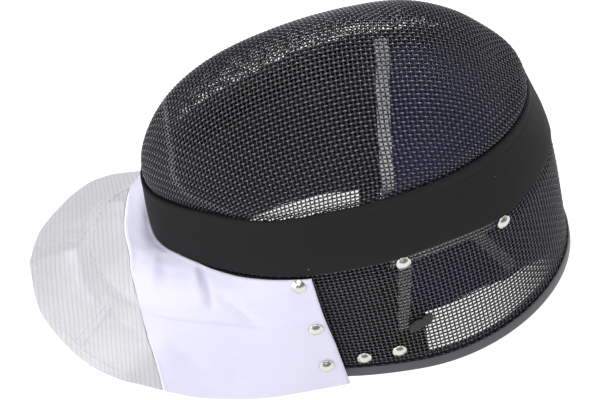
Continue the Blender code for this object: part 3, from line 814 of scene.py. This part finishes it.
for name, where, angle, height in RIVETS:
    for label, sign in (("near", -1), ("far", 1)):
        if where == "bib":
            at = bib(np.array(sign * angle), np.array(height))
            n = square(bib, np.array(sign * angle), np.array(height), 1e-2)
            stand = ON_CLOTH
        else:
            turned = np.array(math.radians(angle if sign < 0 else 360 - angle))
            at, n = wall(turned, np.array(height)), wall_square(turned, np.array(height))
            stand = ON_WIRE
        n = unit(n) * (1 if n[1] * sign > 0 else -1)
        a = unit(np.cross(n, (1.0, 0, 0)))
        b = np.cross(n, a)
        spin = np.linspace(0, 2 * np.pi, CAP_SIDES, endpoint=False)[:, None]
        points = [at + n * (stand + CAP[0][1])]
        for r, rise in CAP[1:]:
            points += list(at + n * (stand + rise) + r * (np.cos(spin) * a + np.sin(spin) * b))
        pairs = [(k, (k + 1) % CAP_SIDES) for k in range(CAP_SIDES)]
        faces = [(0, 1 + k, 1 + after) for k, after in pairs]
        for j in range(len(CAP) - 2):
            inner, outer = 1 + j * CAP_SIDES, 1 + (j + 1) * CAP_SIDES
            faces += [(inner + k, outer + k, outer + after, inner + after) for k, after in pairs]
        faces.append(tuple(1 + (len(CAP) - 2) * CAP_SIDES + k for k in range(CAP_SIDES)))
        cap = made(f"cap_{name}_{label}", points, faces, nickel)
        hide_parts(f"rivet_{name}_{label}")

# The lining is foam in cloth: a thick navy pad round the crown, close inside the wire, and a
# thinner black one inside each cheek, all stitched through the wire.
PAD_LOW = [(-84, 0.38), (-72, 0.39), (-62, 0.395), (-50, 0.34), (-42, 0.31), (-35, 0.23), (-25, 0.15),
           (0, 0.11), (40, 0.03), (100, 0.005)]
PAD_HIGH = 1.53
PAD_NEAR_END, PAD_FAR_END, PAD_JOINT_X, PAD_GAP = -83.1, 84, 33.5, 1.5
CHEEK_START, CHEEK_NEAR_END, CHEEK_PASS, CHEEK_FAR_END = 195, 276.3, 3.7, 165
STRIP_LEAN = 5.9


def angle_at(x, level):
    """The wall's angle on its far side where it passes a given x."""
    level = np.clip(level, 0, TOP_LEVEL)
    rows = dict(zip(RING_COLUMNS, zip(*RINGS)))
    cx, reach, power = (through(rows["level"], rows[name], level) for name in ("cx", "crown", "power"))
    return np.arccos(np.clip((x - cx) / reach, 0, 1) ** (power / 2))


def crown_face(across, high):
    """The wall behind the crown pad: across from -1 at the near end to 1 at the far one."""
    low = through(*zip(*PAD_LOW), np.where(across > 0, across * PAD_FAR_END, -across * PAD_NEAR_END))
    level = low + (PAD_HIGH - low) * high
    far_end = angle_at(PAD_JOINT_X + PAD_GAP - STRIP_LEAN * level, level)
    return wall(across * np.where(across > 0, far_end, -math.radians(PAD_NEAR_END)), level)


def cheek_far(share, level):
    """The far wall from its joint with the crown pad round towards the chin."""
    start = angle_at(PAD_JOINT_X - STRIP_LEAN * level, level)
    return wall(start + (np.radians(CHEEK_FAR_END) - start) * share, level)


def cheek_near(share, level):
    """The near wall from the chin round to the crown pad, which it passes under."""
    end = CHEEK_NEAR_END + CHEEK_PASS * ramp(level, 0.49, 0.46)
    return wall(np.radians(CHEEK_START + (end - CHEEK_START) * share), level)


def lining(name, face, u, v, inset, thick, finish):
    """A piece grown inwards from a face, a little uneven and rolled at its edges."""
    across, along = np.meshgrid(u, v, indexing="ij")
    n = square(face, across, np.clip(along, v[0] + 0.002, v[-1] - 0.002))
    uneven = 0.25 + 0.25 * waves(across * 90, along * 100, 40)[..., None]
    return shell(name, face(across, along) - n * (inset + uneven), n, thick, finish)


def pad(name, stands_for, slot, *shape):
    piece = lining(name, *shape)
    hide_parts(stands_for)


navy = woven_cloth("navy_cloth", (0.012, 0.013, 0.075, 1), (0.026, 0.029, 0.15, 1), 1.4, 0.8, 0.00008)
black = woven_cloth("black_cloth", grey(0.006), grey(0.012), 1.4, 0.85, 0.00008)
pad("crown_lining", "crown_pad", "navy_cloth", crown_face, steps(-1, 1, 110, 0.016),
    steps(0, 1, 44, 0.045), 7.0, 11.4, navy)
pad("cheek_lining_far", "side_pad_far", "black_cloth", cheek_far, steps(0, 1, 60, 0.04),
    steps(0.05, 1.36, 40, 0.04), 12.0, 6.4, black)
pad("cheek_lining_near", "side_pad_near", "black_cloth", cheek_near, steps(0, 1, 60, 0.04),
    steps(0.02, 1.36, 60, 0.03), 6.9, 6.4, black)

# Two strips of webbing, a black one and a white one, lie over the pads' top on the far side and
# run down them. They are sewn at the top, and their loose ends lie on the surface.
STRIP_INSET, STRIP_SLANT = 19.4, 0.16
BINDING_X, STRAP_X = (25.0, 42.0), (42.6, 52.6)
STRIP_LEVELS = (PAD_HIGH, 0.10)
STRIP_BACK, STRIP_RISE = 12.6, 3.4
STRIP_END_Y = 45.0


def far_strip(x, run):
    """A strip over the pads' top, -1 to 0, down the far wall, 0 to 1, and loose on the floor, to 2."""
    level = STRIP_LEVELS[0] + (STRIP_LEVELS[1] - STRIP_LEVELS[0]) * np.clip(run, 0, 1)
    angle = angle_at(x - STRIP_LEAN * level, level)
    back = np.clip(-run, 0, 1)
    at = wall(angle, level) - wall_square(angle, level) * (STRIP_INSET - STRIP_BACK * back)[..., None]
    at[..., 2] += STRIP_RISE * np.sin(np.pi / 2 * np.clip(2.5 * back, 0, 1))
    t = np.clip(run - 1, 0, 1)
    y = at[..., 1] * (1 - t) ** 2 + (at[..., 1] + 1) * 2 * t * (1 - t) + STRIP_END_Y * t ** 2
    z = at[..., 2] * (1 - t) ** 2 + 0.3 * (2 * t - t ** 2)
    return np.stack([at[..., 0] - STRIP_SLANT * (at[..., 1] - y), y, z], -1)


# Narrow white webbing holds the lining on the near side: an upright tape that narrows downwards,
# one along the band's foot, and a short one that slants down from it. A small black clip,
# pressed on from outside, ends the upright one.
TAPE_WALL, CLIP_WALL = 1.4, 1.8
TAPE_AT, TAPE_LEAN, TAPE_WIDTH, TAPE_FLARE = 271.2, 4.1, 2.0, 2.0
CLIP_AT, CLIP_LEVEL, CLIP_HALF_WIDTH, CLIP_HALF_HEIGHT = 278.2, 0.40, 3.3, 0.046
CLIP_TILT, CLIP_CORNER, CLIP_WAIST = 0.030, 0.36, 0.3
tape_cloth = woven_cloth("tape_webbing", (0.86, 0.86, 0.88, 1), (0.95, 0.95, 0.96, 1), 1.1, 0.8, 0.0001)
# The near tapes sit in shade behind the side wall, so they take a darker copy of the same white
# webbing: painted shade.
shade_painted_tape = woven_cloth("shade_painted_webbing", (0.60, 0.60, 0.58, 1), (0.78, 0.78, 0.75, 1), 1.1, 0.8, 0.0001)
clip_plastic = Finish("clip_plastic", IOR=1.5)
clip_grain = clip_plastic.noise(500, 2)
clip_plastic.feed(Base_Color=clip_plastic.shade(clip_grain, grey(0.006), grey(0.011)),
                  Roughness=0.45 + clip_grain * 0.2, Normal=clip_plastic.bumped(clip_grain, 0.00003))


def near_strap(share, level):
    """The near wall behind the upright tape, which leans and narrows downwards."""
    across = share * (TAPE_WIDTH + TAPE_FLARE * level)
    return wall(np.radians(TAPE_AT + TAPE_LEAN * level + across), level)


def clip_face(across, high):
    """The near wall under the clip, from -1 to 1 each way, rounded at its corners."""
    x = across * np.sqrt(1 - CLIP_CORNER * high ** 2)
    y = high * np.sqrt(1 - CLIP_CORNER * across ** 2)
    waist = 1 - CLIP_WAIST * hill(x, 0.05, 0.22)
    return wall(np.radians(CLIP_AT + CLIP_HALF_WIDTH * x),
                CLIP_LEVEL + CLIP_HALF_HEIGHT * waist * y + CLIP_TILT * x)


def slanting_tape(share, along):
    """The near wall behind a short tape that slants down from the band's foot towards the crown."""
    return wall(np.radians(308.5 - 12.0 * along + 4.0 * share), 0.44 + 0.46 * along + 0.03 * share)


along_strip = np.r_[np.linspace(-1, 0, 20)[:-1], np.linspace(0, 1, 50), np.linspace(1, 2, 24)[1:]]
TAPES = [
    ("binding_strip", "pad_binding", far_strip, steps(*BINDING_X, 16, 0.06),
     along_strip, 0.0, TAPE_WALL, black, "black_cloth"),
    ("far_strap", "strap_far", far_strip, steps(*STRAP_X, 16, 0.06),
     along_strip, 0.0, TAPE_WALL, tape_cloth, "white_webbing"),
    # The near tapes take the darker copy of the webbing, a painted shade.
    ("near_strap", "strap_near", near_strap, steps(0, 1, 16, 0.06),
     steps(0.33, 0.865, 40, 0.03), 4.6, TAPE_WALL, shade_painted_tape, "white_webbing"),
    ("foot_tape", "band_tape", wall, np.radians(steps(273.0, 309.0, 50, 0.02)),
     steps(0.88, 0.965, 12, 0.06), 4.8, TAPE_WALL, shade_painted_tape, "white_webbing"),
    ("slanting_tape", "band_tape", slanting_tape, steps(0, 1, 16, 0.06),
     steps(0, 1, 40, 0.03), 4.8, TAPE_WALL, shade_painted_tape, "white_webbing"),
    ("clip", "strap_clip", clip_face, steps(-1, 1, 24, 0.06),
     steps(-1, 1, 20, 0.06), -1.1, CLIP_WALL, clip_plastic, "plastic"),
]
for name, stands_for, face, u, v, inset, thick, finish, slot in TAPES:
    piece = lining(name, face, u, v, inset, thick, finish)
    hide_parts(stands_for)

# The studio is a pale floor that glows softly, four soft boxes round the mask, the brightest one
# overhead, and a camera that looks down on the near side.
FLOOR_HALF = 4
floor_mesh = bpy.data.meshes.new("floor")
floor_mesh.from_pydata([(-FLOOR_HALF, -FLOOR_HALF, 0), (FLOOR_HALF, -FLOOR_HALF, 0),
                        (FLOOR_HALF, FLOOR_HALF, 0), (-FLOOR_HALF, FLOOR_HALF, 0)], [], [(0, 1, 2, 3)])
floor = bpy.data.objects.new("floor", floor_mesh)
bpy.context.scene.collection.objects.link(floor)
pale = Finish("pale_floor", Base_Color=grey(0.30, 0), Roughness=0.7, Emission_Color=grey(1.0, 0),
              Emission_Strength=0.90)
floor_mesh.materials.append(pale.material)


class Sky(Finish):
    """The studio's surroundings, fed in the way of a finish."""

    def __init__(self, world):
        world.use_nodes = True
        self.tree = world.node_tree
        self.shader = self.tree.nodes["Background"]


bpy.context.scene.world = bpy.data.worlds.new("studio")
sky = Sky(bpy.context.scene.world)
height = sky.part(sky.node("TexCoord", output="Generated"), "Z")
glow = [(0.0, grey(0.45, 0)), (0.12, grey(0.20, 0)), (0.55, grey(0.20, 0)), (0.80, grey(0.55, 0))]
sky.feed(Color=sky.node("ValToRGB", {"stops": glow}, {0: height}))


def standing(axes, place):
    """The matrix of a thing at a place, from its three axes as columns."""
    return Matrix([(*row, p) for row, p in zip(axes, place)] + [(0, 0, 0, 1)])


def box_light(name, place, aim, size, power):
    """A soft box at a place, turned to its aim."""
    light = bpy.data.lights.new(name, "AREA")
    light.shape = "RECTANGLE"
    light.size, light.size_y = size
    light.energy = power
    obj = bpy.data.objects.new(name, light)
    bpy.context.scene.collection.objects.link(obj)
    away = unit(np.asarray(place, float) - aim)
    across = unit(np.cross((0.0, 1.0, 0.0) if abs(away[2]) > 0.9 else (0.0, 0.0, 1.0), away))
    up = np.cross(away, across)
    obj.matrix_world = standing(np.stack([across, up, away], 1), place)


box_light("overhead", (0.10, 0.45, 1.5), (0, 0, 0.1), (0.35, 1.2), 16.0)
box_light("front", (-0.25, -1.1, 1.3), (0, 0, 0.1), (1.0, 0.6), 8.0)
box_light("left", (-1.2, -0.65, 0.5), (-0.1, 0, 0.1), (0.9, 0.8), 9.0)
box_light("side", (1.2, -0.2, 0.9), (0, 0, 0.1), (0.4, 0.7), 3.0)

AIM = np.array([CENTRE_SHIFT * 0.001, 0.0, 0.090])
DISTANCE, YAW, LOOK_DOWN = 1.100, math.radians(9), math.radians(46)
LENS, SENSOR, SHIFT = 99.0, 36.0, (-0.07, -0.025)
forward = np.array([math.sin(YAW) * math.cos(LOOK_DOWN), math.cos(YAW) * math.cos(LOOK_DOWN),
                    -math.sin(LOOK_DOWN)])
right = np.array([math.cos(YAW), -math.sin(YAW), 0.0])
lens = bpy.data.cameras.new("camera")
lens.lens, lens.sensor_width = LENS, SENSOR
lens.shift_x, lens.shift_y = SHIFT
camera = bpy.data.objects.new("camera", lens)
bpy.context.scene.collection.objects.link(camera)
camera.matrix_world = standing(np.stack([right, np.cross(right, forward), -forward], 1),
                               AIM - forward * DISTANCE)
bpy.context.scene.camera = camera
bpy.context.scene.view_settings.view_transform = "Standard"
